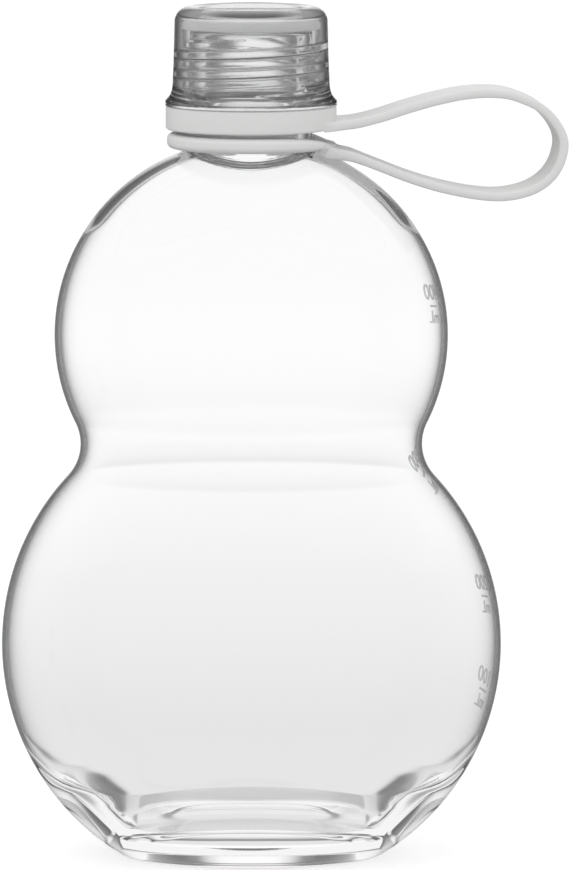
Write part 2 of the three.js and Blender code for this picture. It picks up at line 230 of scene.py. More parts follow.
class StageSettings(bpy.types.PropertyGroup):
    """Camera, floor and light."""
    distance: length("Camera distance", "From the bottle's axis to the camera", 1.40)
    height: length("Camera height", "Camera above the floor", 0.265)
    aim: length("Aim", "Height that the camera looks at", 86.5 * MM)
    aside: length("Aside", "How far the camera stands to the loop's side", 6.75 * MM)
    view_height: length("View height", "Height of the framed field at the bottle", 177.1 * MM)
    windows: IntProperty(name="Windows", description="Bright windows round the bottle, grey between them",
                         default=8)
    grey: share("Grey", "Brightness between the windows", 0.24)
    matt_light: share("Matt light", "Brightness of the room for matt surfaces", 0.78)
    floor_glow: share("Floor glow", "How much the camera sees the floor lifted to white", 0.55)
    floor_half: length("Floor", "Half the side of the square floor", 6.0)
    floor_gap: length("Floor gap", "How far the floor lies under the foot", 0.15 * MM)
    low_light: share("Low light", "Brightness of the room below the table's edge", 0.785)


class GourdBottle(bpy.types.PropertyGroup):
    """All settings of the bottle."""
    bottle: PointerProperty(type=BottleSizes)
    cap: PointerProperty(type=CapSizes)
    strap: PointerProperty(type=StrapSizes)
    marks: PointerProperty(type=MarkSizes)
    finishes: PointerProperty(type=Finishes)
    stage: PointerProperty(type=StageSettings)


# Surfaces

def new_object(name, data):
    """New object in the scene."""
    made = bpy.data.objects.new(name, data)
    bpy.context.scene.collection.objects.link(made)
    return made


def mesh_object(name, points, faces, material):
    """New object of points and faces in one material."""
    mesh = bpy.data.meshes.new(name)
    mesh.from_pydata(points, [], faces)
    mesh.materials.append(material)
    return new_object(name, mesh)


def smooth_solid(name, points, faces, material):
    """Smooth-shaded object of a closed solid. Its signed volume, a sixth of the sum of each triangle's
    triple product, says whether the faces point out, and they are turned round if they don't."""
    volume = 0.0
    for block in faces:
        for k in range(1, block.shape[1] - 1):
            a, b, c = points[block[:, 0]], points[block[:, k]], points[block[:, k + 1]]
            volume += float(np.einsum("ij,ij->", a, np.cross(b, c)))
    order = -1 if volume < 0 else 1
    made = mesh_object(name, points.tolist(), [face for f in faces for face in f[:, ::order].tolist()],
                       material)
    made.data.validate()
    made.data.shade_smooth()
    return made


def eased(share_of_way):
    """Smooth step: a share of the way, 0 to 1, that starts and ends without a kink."""
    return share_of_way * share_of_way * (3 - 2 * share_of_way)


def round_angles(count):
    """One row of evenly spaced angles of a full turn."""
    return np.arange(count)[None] / count * TURN


def ring_faces(rows, columns, first=0, closed=False):
    """Quads between neighbouring rings of a grid, each closed on itself. closed joins last to first."""
    i, j = np.meshgrid(np.arange(rows if closed else rows - 1), np.arange(columns), indexing="ij")
    i, j = i.ravel(), j.ravel()
    up, along = (i + 1) % rows, (j + 1) % columns
    return first + np.stack([i * columns + j, i * columns + along,
                             up * columns + along, up * columns + j], 1)


def fan(pole, ring_start, columns, flip):
    """Triangles from one pole point to a ring."""
    j = np.arange(columns)
    along = (j + 1) % columns
    tri = np.stack([np.full(columns, pole), ring_start + j, ring_start + along], 1)
    return tri[:, ::-1] if flip else tri


def closed_solid(rings, start, end):
    """Points and faces of a grid of rings (rows, columns, 3) whose two ends are closed at pole points."""
    rows, columns = rings.shape[:2]
    points = np.concatenate([rings.reshape(-1, 3), [start, end]])
    count = rows * columns
    return points, [ring_faces(rows, columns), fan(count, 0, columns, True),
                    fan(count + 1, count - columns, columns, False)]


def tube_solid(rings):
    """Points and faces of a grid of rings whose last ring joins the first."""
    rows, columns = rings.shape[:2]
    return rings.reshape(-1, 3), [ring_faces(rows, columns, closed=True)]


def joined(parts):
    """Points and faces of several solids in one mesh."""
    points, quads, triangles, first = [], [], [], 0
    for part_points, part_faces in parts:
        points.append(part_points)
        for block in part_faces:
            (quads if block.shape[1] == 4 else triangles).append(block + first)
        first += len(part_points)
    faces = [np.concatenate(quads)]
    if triangles:
        faces.append(np.concatenate(triangles))
    return np.concatenate(points), faces


def arc(centre_out, centre_up, radius, start, end, steps):
    """Points [out, up] of an arc round a centre, both ends included."""
    angle = np.linspace(start, end, steps + 1)
    return np.stack([centre_out + radius * np.cos(angle), centre_up + radius * np.sin(angle)], 1)


def through(points, steps):
    """Smooth curve through points, that many steps between two of them: cubics whose slope at a point is
    the mean of the slopes of the straight lines on its two sides, each weighted by the other's length."""
    p = np.asarray(points, float)
    length_between = np.linalg.norm(np.diff(p, axis=0), axis=1)[:, None]
    slope = np.diff(p, axis=0) / length_between
    before, after = length_between[:-1], length_between[1:]
    inner = (slope[:-1] * after + slope[1:] * before) / (before + after)
    at_points = np.concatenate([slope[:1], inner, slope[-1:]])
    t = np.linspace(0, 1, steps, endpoint=False)[:, None]
    pieces = []
    for i, reach in enumerate(length_between):
        pieces.append((2 * t ** 3 - 3 * t ** 2 + 1) * p[i]
                      + (t ** 3 - 2 * t ** 2 + t) * reach * at_points[i]
                      + (3 * t ** 2 - 2 * t ** 3) * p[i + 1]
                      + (t ** 3 - t ** 2) * reach * at_points[i + 1])
    return np.concatenate(pieces + [p[-1:]])


def rounded(corners, steps=6):
    """Outline through corners [out, up, rounding]: each corner with a rounding becomes an arc that touches
    both its sides, worked out from the half angle between them. The outline is taken as closed."""
    c = np.asarray(corners, float)
    points, radii = c[:, :2], c[:, 2]
    out = []
    for i, radius in enumerate(radii):
        here, before, after = points[i], points[i - 1], points[(i + 1) % len(points)]
        if radius <= 0:
            out.append(here[None])
            continue
        a, b = before - here, after - here
        a, b = a / np.hypot(*a), b / np.hypot(*b)
        half = math.acos(max(-1.0, min(1.0, float(a @ b)))) / 2
        reach = radius / math.tan(half)
        middle = (a + b) / np.hypot(*(a + b))
        centre = here + middle * radius / math.sin(half)
        first, last = here + a * reach - centre, here + b * reach - centre
        start = math.atan2(first[1], first[0])
        sweep = (math.atan2(last[1], last[0]) - start + math.pi) % TURN - math.pi
        out.append(arc(centre[0], centre[1], radius, start, start + sweep, steps))
    return np.concatenate(out)


def turned(outline, segments, radius_change=None, height_change=None):
    """Rings of a turned surface: each point [out, up] goes round the axis. radius_change(angle, up) is
    added to the radius and height_change(angle, up) to the height."""
    angle = round_angles(segments)
    out, up = outline[:, :1], outline[:, 1:]
    radius = out + (radius_change(angle, up) if radius_change else 0 * angle)
    height = up + (height_change(angle, up) if height_change else 0 * angle)
    return np.stack([radius * np.cos(angle), radius * np.sin(angle), height], 2)


def ridge(angle, up, front, pitch, begin, end):
    """Share of its full height, 0 to 1, that a one-start helical ridge has at an angle and a height. The
    ridge is at the front height at the front and runs from one number of turns from there to another. Its
    cross-section is a rounded trapezium: a smooth step of the distance to the helix's middle, which fades
    at both ends."""
    turn = ((angle / TURN + 0.25) % 1.0) + 0 * up
    lap = np.round((up - front) / pitch - turn)
    lap = np.clip(lap, math.floor(begin), math.ceil(end))
    along = turn + lap
    away = np.abs(up - front - pitch * along) / pitch
    side = np.clip((RIDGE_FOOT - away) / RIDGE_FLANK, 0, 1)
    fade = np.clip(np.minimum(along - begin, end - along) / RIDGE_FADE, 0, 1)
    return eased(side) * eased(fade)


def waist_centre(lower, upper, hollow, spacing, lower_centre):
    """Centre [out, up] of the waist's round, which touches both balls from outside."""
    to_lower, to_upper = lower + hollow, upper + hollow
    rise = (to_lower ** 2 - to_upper ** 2 + spacing ** 2) / (2 * spacing)
    return math.sqrt(to_lower ** 2 - rise ** 2), lower_centre + rise


def gourd(lower, upper, hollow, spacing, lower_centre, start, end, steps):
    """Lower ball, waist and upper ball as one smooth outline [out, up] of three touching arcs."""
    waist_out, waist_up = waist_centre(lower, upper, hollow, spacing, lower_centre)
    low_touch = math.atan2(waist_up - lower_centre, waist_out)
    high_touch = math.atan2(lower_centre + spacing - waist_up, waist_out)
    return np.concatenate([
        arc(0, lower_centre, lower, start, low_touch, steps[0]),
        arc(waist_out, waist_up, hollow, math.pi + low_touch, math.pi - high_touch, steps[1])[1:-1],
        arc(0, lower_centre + spacing, upper, -high_touch, end, steps[2]),
    ])


class BodyShape:
    """Outline of the bottle, outside and inside, in metres."""

    def __init__(self, s):
        self.s = s
        self.lower_centre = math.sqrt(s.lower_radius ** 2 - s.foot_half_width ** 2)
        self.upper_centre = self.lower_centre + s.ball_spacing
        self.mouth = bottle_high.z
        self.thread_start = self.mouth - s.thread_top - s.thread_pitch * s.thread_turns

    def outside(self):
        """Outer outline [half-width, height] from the foot's edge to the neck, with a rounded foot edge."""
        s = self.s
        foot = -math.asin(self.lower_centre / s.lower_radius)
        neck = math.acos(s.neck_radius / s.upper_radius)
        line = gourd(s.lower_radius, s.upper_radius, s.waist_round, s.ball_spacing, self.lower_centre,
                     foot, neck, (90, 18, 80))
        slope = math.pi / 2 + foot
        cut = s.foot_round * math.tan(slope / 2)
        corner = arc(s.foot_half_width - cut, s.foot_round, s.foot_round, -math.pi / 2,
                     -math.pi / 2 + slope, 8)
        line = line[line[:, 1] > corner[-1, 1]]
        return np.concatenate([corner, line])

    def outside_half_width(self, height):
        """Half-width of the lower ball at a height."""
        return np.sqrt(self.s.lower_radius ** 2 - (height - self.lower_centre) ** 2)

    def heel(self):
        """Side limit [half-width, height] of the thick heel, from the floor's flat up to the thin wall: a
        curve through given shares of the way out and up."""
        s = self.s
        top = self.outside_half_width(s.heel_height) - s.lower_wall
        out, up = top - s.floor_half_width, s.heel_height - s.floor_thickness
        shares = np.array([[0, 0], [0.12, 0.06], [0.23, 0.185], [0.326, 0.3], [0.417, 0.4], [0.53, 0.485],
                           [0.64, 0.535], [0.75, 0.63], [0.85, 0.75], [0.94, 0.88], [1, 1]])
        return through(np.array([s.floor_half_width, s.floor_thickness]) + shares * [out, up], 6)

    def inside(self):
        """Inner stations [half-width, half-depth, height, side limit] from the flat of the floor to the
        neck's bore. The wall is even and thin, but in the heel and in the shoulder its two sides reach in
        to the side limit."""
        s = self.s
        lower, upper = s.lower_radius - s.lower_wall, s.upper_radius - s.upper_wall
        thick = s.upper_radius - s.shoulder_wall
        start = math.asin((s.floor_thickness - self.lower_centre) / lower)
        line = gourd(lower, upper, s.waist_round + s.upper_wall, s.ball_spacing, self.lower_centre,
                     start, math.acos(s.neck_bore * 0.6 / upper), (120, 18, 80))
        wall = np.interp(line[:, 1], [self.upper_centre - s.upper_radius / 2, self.upper_centre],
                         [s.lower_wall, s.upper_wall])
        depth = s.flatness * (line[:, 0] + wall) - wall
        heel = self.heel()
        limit = np.interp(line[:, 1], heel[:, 1], heel[:, 0])
        above = line[:, 1] - self.upper_centre
        turn = np.arcsin(np.clip(above / upper, 0, 1))
        ease = eased(np.clip((turn - s.shoulder_start) / (s.shoulder_full - s.shoulder_start), 0, 1))
        shoulder = np.sqrt(np.maximum((upper + (thick - upper) * ease) ** 2 - above ** 2, 0))
        limit = np.where(line[:, 1] < s.heel_height, limit, np.where(above > 0, shoulder, line[:, 0]))
        stations = np.column_stack([line[:, 0], depth, line[:, 1], np.minimum(limit, line[:, 0])])
        rise = np.array([0, 0.03, 0.12, 0.28, 0.5, 0.75, 1.0]) * s.floor_round
        corner = np.column_stack([np.interp(s.floor_thickness + rise, stations[:, 2], column)
                                  for column in stations.T])
        drawn_in = s.floor_round - np.sqrt(np.maximum(s.floor_round ** 2 - (s.floor_round - rise) ** 2, 0))
        corner[:, [0, 1, 3]] -= drawn_in[:, None]
        return np.concatenate([corner, stations[stations[:, 2] > corner[-1, 2] + 10 * TOUCH]])

    def rings(self, half_width, half_depth, height, round_radius, blend, limit=None):
        """Rings of the body: an ellipse's polar radius, softly held to at most its side limit along the
        width and softly held to at least the round neck's. Softly means half the sum plus or minus the
        root of the squared half difference and the blend. The directions of a ring's points turn from
        even on the ellipse to even on the circle as it goes up the neck."""
        s = self.s
        even = round_angles(s.segments)
        width, depth, up = (np.maximum(v, 1e-9)[:, None] for v in (half_width, half_depth, height))
        lift = np.clip((up - self.upper_centre) / (s.upper_radius * 0.95), 0, 1)
        flat = depth / width * (1 - lift) + lift
        flat = np.clip(np.where(width < 1e-6, 1, flat), 0.1, 1)
        angle = np.arctan2(flat * np.sin(even), np.cos(even))
        ellipse = 1 / np.sqrt((np.cos(angle) / width) ** 2 + (np.sin(angle) / depth) ** 2)
        if limit is not None:
            side = np.maximum(limit[:, None], 1e-9) / np.maximum(np.abs(np.cos(angle)), 1e-3)
            soft = np.minimum(s.side_blend, 0.6 * (width - limit[:, None]))
            ellipse = (ellipse + side - np.sqrt((ellipse - side) ** 2 + soft ** 2)) / 2
        neck = round_radius(angle, up)
        gap = ellipse - neck
        radius = (ellipse + neck + np.sqrt(gap ** 2 + blend ** 2)) / 2
        radius = np.where(up > self.upper_centre + s.upper_radius, neck, radius)
        return np.stack([radius * np.cos(angle), radius * np.sin(angle), up + 0 * angle], 2)

    def ball_width(self, height):
        """Half-width of the upper ball at a height, zero above its top."""
        return np.sqrt(np.maximum(0, self.s.upper_radius ** 2 - (height - self.upper_centre) ** 2))

    def wall_point(self, angle, height):
        """Point and outward direction of the outside at an oval angle and a height below the neck, and how
        far the point moves for one radian."""
        line = self.outside()
        step, turn = 5 * TOUCH, 1e-3

        def at(a, h):
            w = np.interp(h, line[:, 1], line[:, 0])
            return np.stack([w * np.cos(a), self.s.flatness * w * np.sin(a), h + 0 * a], -1)

        here = at(angle, height)
        across = at(angle + turn, height) - here
        along = at(angle, height + step) - here
        out = np.cross(across, along)
        out /= np.linalg.norm(out, axis=-1, keepdims=True)
        return here, out, np.linalg.norm(across, axis=-1) / turn


def bottle_mesh(s):
    """Points and faces of the bottle: foot, outside, neck with thread, lip, bore, inside and floor."""
    body = BodyShape(s)
    outer = body.outside()
    inner = body.inside()
    shoulder = outer[-1, 1]
    plain = shoulder + s.corner_height

    def neck_outside(angle, up):
        return s.neck_radius + s.thread_depth * ridge(angle, up, body.thread_start, s.thread_pitch, 0,
                                                      s.thread_turns)

    def neck_bore(angle, up):
        return s.neck_bore + 0 * angle + 0 * up

    neck_up = np.concatenate([np.linspace(shoulder, plain, 40)[1:],
                              np.linspace(plain, body.mouth - s.lip_round, 118)[1:]])
    foot = np.array([0.3, 0.6, 0.66, 0.69, 0.72, 0.8, 0.9])[:, None] * outer[0, 0]
    hollow = np.array([1, 1, 0.9, 0.5, 0.1, 0, 0])[:, None] * s.foot_hollow
    even = round_angles(s.segments)
    foot_rings = np.stack([foot * np.cos(even), foot * s.flatness * np.sin(even), hollow + 0 * even], 2)
    skin = body.rings(outer[:, 0], outer[:, 0] * s.flatness, outer[:, 1], neck_outside, s.neck_blend)
    neck = body.rings(body.ball_width(neck_up), body.ball_width(neck_up) * s.flatness, neck_up,
                      neck_outside, s.neck_blend)
    lip = arc(s.neck_radius - s.lip_round, body.mouth - s.lip_round, s.lip_round, 0, math.pi / 2, 6)[1:]
    lip_in = arc(s.neck_bore + s.lip_round, body.mouth - s.lip_round, s.lip_round, math.pi / 2, math.pi, 6)
    lips = turned(np.concatenate([lip, lip_in]), s.segments)
    bore_up = np.linspace(inner[-1, 2], body.mouth - s.lip_round, 16)[1:-1]
    inside = body.rings(inner[:, 0], inner[:, 1], inner[:, 2], neck_bore, s.bore_blend, inner[:, 3])
    bore = body.rings(0 * bore_up, 0 * bore_up, bore_up, neck_bore, s.bore_blend)
    floor = np.array([0.15, 0.3, 0.45, 0.6, 0.75, 0.85, 0.93, 0.98])[:, None]
    floor_rings = inside[:1] * [1, 1, 0] * floor[:, :, None] + [0, 0, s.floor_thickness]
    for part in (inside, floor_rings):
        way_up = np.clip((part[:, :, 2] - s.floor_thickness) / (s.heel_height - s.floor_thickness), 0, 1)
        part[:, :, 2] += s.floor_rise * (part[:, :, 1] / inner[0, 1]) ** 2 * (1 - way_up) ** 3
    rings = np.concatenate([foot_rings, skin, neck, lips, bore[::-1], inside[::-1], floor_rings[::-1]])
    return closed_solid(rings, (0, 0, s.foot_hollow), (0, 0, s.floor_thickness))


def cap_mesh(c, b):
    """Points and faces of the cap: ceiling, bore with its thread ridge, skirt with bead, flare, rounded
    shoulder and dished top, all turned round the axis."""
    body = BodyShape(b)
    top, low = cap_high.z, cap_low.z
    ceiling = liner_high.z + c.liner_gap
    outer = c.bore + c.wall
    flare_low = top - c.height
    rim = outer - c.draft - c.shoulder_round
    skirt = c.bore + c.skirt_wall
    bead = skirt + c.skirt_bead
    side_up = top - c.shoulder_round
    outline = rounded([
        [c.bore, low, c.small_round],
        [bead, low, c.edge_round],
        [bead, low + c.bead_height, c.small_round],
        [skirt, low + c.bead_height + c.small_round, c.bead_root],
        [skirt, flare_low, c.edge_round],
        [cap_high.x, flare_low, c.small_round],
        [cap_high.x, flare_low + c.flare_edge, c.flare_round],
    ], 5)
    sweep = through([
        [cap_high.x - 8 * TOUCH, flare_low + c.flare_edge + c.flare_round],
        [outer + c.flare_width * 0.36, flare_low + c.flare_height * 0.5],
        [outer + c.flare_width * 0.05, flare_low + c.flare_height * 0.95],
        [outer - 2 * TOUCH, flare_low + c.flare_height * 1.4],
        [outer - c.draft, side_up],
    ], 10)
    shoulder = arc(rim, side_up, c.shoulder_round, 0, math.pi / 2, 14)[1:]
    dish = through([
        [rim - c.rim_width * 0.3, top],
        [rim - c.rim_width * 0.9, top - c.dish * 0.25],
        [rim - c.rim_width - c.dish * 0.9, top - c.dish * 0.8],
        [rim - c.rim_width - c.dish * 2.2, top - c.dish],
    ], 5)
    flat = np.array([[dish[-1, 0] * k, top - c.dish] for k in (0.8, 0.5, 0.2)])
    bore_up = np.linspace(ceiling - c.ceiling_round, low + c.bore_edge, 190)
    bore = np.stack([np.full_like(bore_up, c.bore), bore_up], 1)
    corner = arc(c.bore - c.ceiling_round, ceiling - c.ceiling_round, c.ceiling_round,
                 math.pi / 2, 0, 5)[:-1]
    inside_top = np.array([[c.bore * k, ceiling] for k in (0.25, 0.55, 0.85)])
    line = np.concatenate([inside_top, corner, bore, outline, sweep, shoulder, dish, flat])

    def ridge_in(angle, up):
        front = body.thread_start + b.thread_pitch / 2
        begin = c.thread_end - c.thread_turns
        on_bore = np.abs(line[:, :1] - c.bore) < TOUCH / 100
        return -b.thread_depth * ridge(angle, up, front, b.thread_pitch, begin, c.thread_end) * on_bore

    rings = turned(line, c.segments, ridge_in)
    return closed_solid(rings, (0, 0, ceiling), (0, 0, top - c.dish))


def liner_mesh(c):
    """Points and faces of the liner: a disc with rounded edges."""
    radius, low, high = liner_high.x, liner_low.z, liner_high.z
    edge = rounded([[0, low, 0], [radius, low, c.liner_round], [radius, high, c.liner_round],
                    [0, high, 0]], 5)[1:-1]
    inner = np.array([[radius * k, low] for k in (0.3, 0.6, 0.85)])
    upper = np.array([[radius * k, high] for k in (0.85, 0.6, 0.3)])
    rings = turned(np.concatenate([inner, edge, upper]), 96)
    return closed_solid(rings, (0, 0, low), (0, 0, high))


def loop_line(s):
    """Middle line [out, up] of the loop, from inside the cap ring round the far end to inside the neck
    ring: a smooth curve through points given as shares of the reach, rise and drop."""
    cap_out, neck_out = cap_ring_high.x, neck_ring_high.x
    far = cap_out + s.reach
    upper_up = cap_ring_low.z + s.on_cap_ring
    lower_up = neck_ring_low.z + s.on_neck_ring
    upper = np.array([[0, 0], [0.076, 0.065], [0.193, 0.258], [0.31, 0.523], [0.465, 0.818],
                      [0.57, 0.957], [0.681, 1], [0.76, 0.942], [0.825, 0.788], [0.89, 0.566],
                      [0.937, 0.291]])
    lower = np.array([[1, -0.04], [0.99, 0.25], [0.96, 0.53], [0.92, 0.72], [0.87, 0.86], [0.8, 0.96],
                      [0.727, 1], [0.62, 0.965], [0.53, 0.89], [0.42, 0.765], [0.314, 0.605],
                      [0.2, 0.4], [0.081, 0.19], [0.03, 0.11], [0, 0.06]])
    start, end = cap_out - s.curve_inset, neck_out - s.curve_inset
    points = np.concatenate([
        [[cap_out - s.band_inset, upper_up + TOUCH]],
        np.array([start, upper_up]) + upper * [far - start, s.rise],
        np.array([end, lower_up]) + lower * [far - end, -s.drop],
        [[neck_out - s.band_inset, lower_up + TOUCH]],
    ])
    return through(points, 12)


def band_mesh(s):
    """Points and faces of the loop's band: a rounded rectangle carried along the middle line, square to
    it. Next to a ring each side is a quarter round that touches both the ring's circle and the band's
    straight side, and the rows bend so that they follow the ring. There the band also thickens evenly."""
    line = loop_line(s)
    step = np.gradient(line, axis=0)
    step /= np.linalg.norm(step, axis=1, keepdims=True)
    normal = np.stack([-step[:, 1], step[:, 0]], 1)
    order = np.arange(len(line))
    top = np.argmax(line[:, 0])
    ring = np.where(order < top, cap_ring_high.x, neck_ring_high.x)
    half_band = s.band_width / 2
    centre = np.sqrt((ring + s.fillet) ** 2 - (half_band + s.fillet) ** 2)
    touch = np.arctan2(half_band + s.fillet, centre)
    away = np.clip((line[:, 0] - ring + s.band_inset) / (centre - ring + s.band_inset), 0, 1)
    round_turn = touch + (math.pi / 2 - touch) * away
    side_out = np.where(away < 1, centre - s.fillet * np.cos(round_turn), line[:, 0])
    half_width = half_band + s.fillet * (1 - np.sin(round_turn))
    near = 1 - np.clip((line[:, 0] - ring + s.band_inset) / (s.band_inset + s.thick_reach), 0, 1)
    half = s.band_thickness / 2
    grow = eased(near)
    outward = half + np.where(order < top, s.thick_upper, s.thick_lower) * grow
    inward = half + np.where(order < top, s.thick_upper_inner, s.thick_lower_inner) * grow
    face = np.linspace(-1, 1, 13)
    quarter = np.linspace(0, math.pi / 2, 6)
    across = np.concatenate([face[:-1], np.ones(6), face[::-1][:-1], -np.ones(6)])
    side = np.concatenate([np.ones(12), np.ones(3), -np.ones(3), -np.ones(12), -np.ones(3), np.ones(3)])
    turn = np.concatenate([np.full(12, math.pi / 2), math.pi / 2 - quarter * 2, np.full(12, -math.pi / 2),
                           -math.pi / 2 - quarter * 2])
    r = s.band_round
    a = (half_width - r)[:, None] * across + r * np.cos(turn) * (np.abs(np.cos(turn)) > 1e-9)
    b = np.where(side > 0, (outward - r)[:, None], -(inward - r)[:, None]) + r * np.sin(turn)
    bend = (line[:, 0] - side_out)[:, None] * (a / half_width[:, None]) ** 2
    rings = np.stack([line[:, :1] + normal[:, :1] * b - bend, a, line[:, 1:] + normal[:, 1:] * b], 2)
    return closed_solid(rings, rings[0].mean(0), rings[-1].mean(0))


def strap_mesh(s):
    """Points and faces of the whole strap: cap ring, neck ring and band, swung about the axis. Where the
    band leaves them, the cap ring's lower edge rises and the neck ring's upper edge sinks, by a bell
    curve of the angle from the band that fades over the ring's height."""
    low, high = cap_ring_low.z, cap_ring_high.z
    radius = cap_ring_high.x
    ledge = low + s.rebate_height
    cap_ring = rounded([
        [s.cap_ring_rebate, low, s.ring_inner_round],
        [radius, low, s.cap_ring_round],
        [radius, high, s.ring_inner_round],
        [s.cap_ring_bore, high, s.ring_inner_round],
        [s.cap_ring_bore, ledge, s.ledge_round],
        [s.cap_ring_rebate, ledge, s.ledge_round],
    ], 7)
    neck_low, neck_high = neck_ring_low.z, neck_ring_high.z
    neck_ring = rounded([
        [s.neck_ring_bore, neck_low + s.neck_ring_undercut, s.ring_inner_round],
        [neck_ring_high.x, neck_low, s.neck_ring_round],
        [neck_ring_high.x, neck_high, s.neck_ring_round],
        [s.neck_ring_bore, neck_high, s.ring_inner_round],
    ], 8)

    def bell(angle):
        return np.exp(-(((angle + math.pi) % TURN - math.pi) / s.swell_width) ** 2 / 2)

    def raised(angle, up):
        return s.rise_at_band * bell(angle) * np.clip((high - up) / (high - low), 0, 1)

    def sunk(angle, up):
        return -s.sink_at_band * bell(angle) * np.clip((up - neck_low) / (neck_high - neck_low), 0, 1)

    points, faces = joined([tube_solid(turned(cap_ring, 144, height_change=raised)),
                            tube_solid(turned(neck_ring, 144, height_change=sunk)), band_mesh(s)])
    cos, sin = math.cos(s.swing), math.sin(s.swing)
    turned_points = points @ np.array([[cos, sin, 0], [-sin, cos, 0], [0, 0, 1]])
    return turned_points, faces


# Finishes

GLASS = {"Transmission Weight": 1.0, "IOR": 1.5}
SKIN_INPUTS = {"Grain Size": 900.0, "Cloud Size": 30.0, "Low Roughness": 0.1, "High Roughness": 0.2,
               "Grain Share": 0.5}

# Each finish has its colour's setting, the skin's inputs in their order, the bump's strength and distance,
# how much the skin's mask shades the colour, and other inputs of the shader.
LOOKS = {
    "Clear bottle plastic": ("clear", (60.0, 22.0, 0.0, 0.02, 0.25), (0.1, 0.0002), 0.0, GLASS),
    "Smoky cap plastic": ("smoky", (700.0, 40.0, 0.05, 0.09, 0.5), (0.1, 0.00005), 0.03, GLASS),
    "Liner foam": ("foam", (2500.0, 120.0, 0.55, 0.7, 0.7), (0.3, 0.0001), 0.05, {}),
    "Strap silicone": ("silicone", (1800.0, 60.0, 0.42, 0.55, 0.6), (0.15, 0.00006), 0.05,
                       {"Specular IOR Level": 0.4}),
    # The marks' grey tint is painted shade for the dark outlines of clear relief, not a colour of their own
    "Raised mark with painted shade": ("mark", (2000.0, 100.0, 0.2, 0.3, 0.5), (0.1, 0.00003), 0.0, GLASS),
}


def grey(level):
    """Opaque grey of a brightness."""
    return level, level, level, 1


def feed(made, inputs):
    """Gives inputs of a node, by name or number, a value or another node's output."""
    for key, value in inputs.items():
        if isinstance(value, bpy.types.NodeSocket):
            made.id_data.links.new(value, made.inputs[key])
        else:
            made.inputs[key].default_value = value


def node(tree, kind, inputs=None, **attributes):
    """Outputs of a new shader node of a kind, with its attributes set and its inputs fed."""
    made = tree.nodes.new("ShaderNode" + kind)
    for key, value in attributes.items():
        setattr(made, key, value)
    feed(made, inputs or {})
    return made.outputs


def sum_node(tree, operation, *values):
    """Result of a math node of one operation on numbers or sockets."""
    return node(tree, "Math", dict(enumerate(values)), operation=operation)[0]


def mix_node(tree, factor, low, high):
    """Result of a mix node of two numbers or sockets."""
    return node(tree, "Mix", {"Factor": factor, "A": low, "B": high})["Result"]


def range_node(tree, value, low, high, low_result, high_result):
    """Result of a map range node that takes a value between two bounds smoothly to one between two others."""
    return node(tree, "MapRange", {"Value": value, "From Min": low, "From Max": high, "To Min": low_result,
                                   "To Max": high_result}, interpolation_type="SMOOTHSTEP")["Result"]


def moulded_group():
    """Node group for a moulded skin: two sizes of noise on object coordinates give a roughness between two
    bounds, a height for a bump, and a mask that slightly shades the colour."""
    tree = bpy.data.node_groups.new("Moulded skin", "ShaderNodeTree")
    for name, value in SKIN_INPUTS.items():
        made = tree.interface.new_socket(name=name, in_out="INPUT", socket_type="NodeSocketFloat")
        made.default_value = value
    for name in ("Roughness", "Height", "Mask"):
        tree.interface.new_socket(name=name, in_out="OUTPUT", socket_type="NodeSocketFloat")
    given = tree.nodes.new("NodeGroupInput").outputs
    place = node(tree, "TexCoord")["Object"]
    grain, cloud = [node(tree, "TexNoise", {"Vector": place, "Scale": given[size], "Detail": detail})["Fac"]
                    for size, detail in (("Grain Size", 3), ("Cloud Size", 2))]
    mixed = mix_node(tree, given["Grain Share"], cloud, grain)
    rough = node(tree, "MapRange", {"Value": mixed, "From Min": 0.3, "From Max": 0.7,
                                    "To Min": given["Low Roughness"], "To Max": given["High Roughness"]})
    feed(tree.nodes.new("NodeGroupOutput"), {"Roughness": rough["Result"], "Height": mixed, "Mask": cloud})
    return tree


def finish_material(name, base, skin, values, bump, shade, others):
    """Material whose roughness, bump and slight shading come from the moulded skin group."""
    material = bpy.data.materials.new(name)
    material.use_nodes = True
    tree = material.node_tree
    group = node(tree, "Group", dict(zip(SKIN_INPUTS, values)), node_tree=skin)
    relief = node(tree, "Bump", {"Strength": bump[0], "Distance": bump[1], "Height": group["Height"]})
    shaded = (*[v * (1 - shade) for v in base], 1)
    tint = node(tree, "Mix", {"Factor": group["Mask"], "A": (*base, 1), "B": shaded}, data_type="RGBA")
    feed(tree.nodes["Principled BSDF"], {"Roughness": group["Roughness"], "Normal": relief["Normal"],
                                         "Base Color": tint["Result"], **others})


def let_through(material, tint, trapped):
    """Lets lamp light pass a clear plastic, dimmed by a tint, and lets rays that its inside has thrown back
    three times leave it straight, dimmed by another, so that thick corners stay grey and don't go black."""
    tree = material.node_tree
    path = node(tree, "LightPath")
    thrown = sum_node(tree, "SUBTRACT", path["Glossy Depth"], 2.0)
    last = tree.nodes["Principled BSDF"].outputs[0]
    for factor, level in ((path["Is Shadow Ray"], tint), (thrown, trapped)):
        clear = node(tree, "BsdfTransparent", {"Color": grey(level)})[0]
        last = node(tree, "MixShader", {0: factor, 1: last, 2: clear})[0]
    feed(tree.nodes["Material Output"], {"Surface": last})


def materials(f):
    """The five finishes by name, made once."""
    if not all(name in bpy.data.materials for name in LOOKS):
        skin = moulded_group()
        for name, (setting, *look) in LOOKS.items():
            finish_material(name, getattr(f, setting), skin, *look)
        smoky = bpy.data.materials["Smoky cap plastic"]
        let_through(bpy.data.materials["Clear bottle plastic"], 0.86, 1.0)
        let_through(smoky, 0.97, 0.4)
        smoke = node(smoky.node_tree, "VolumeAbsorption", {"Color": grey(0), "Density": f.smoke})[0]
        feed(smoky.node_tree.nodes["Material Output"], {"Volume": smoke})
    return {name: bpy.data.materials[name] for name in LOOKS}


def settings(context):
    """All settings of the bottle in the scene."""
    return context.scene.gourd_bottle


# Operators

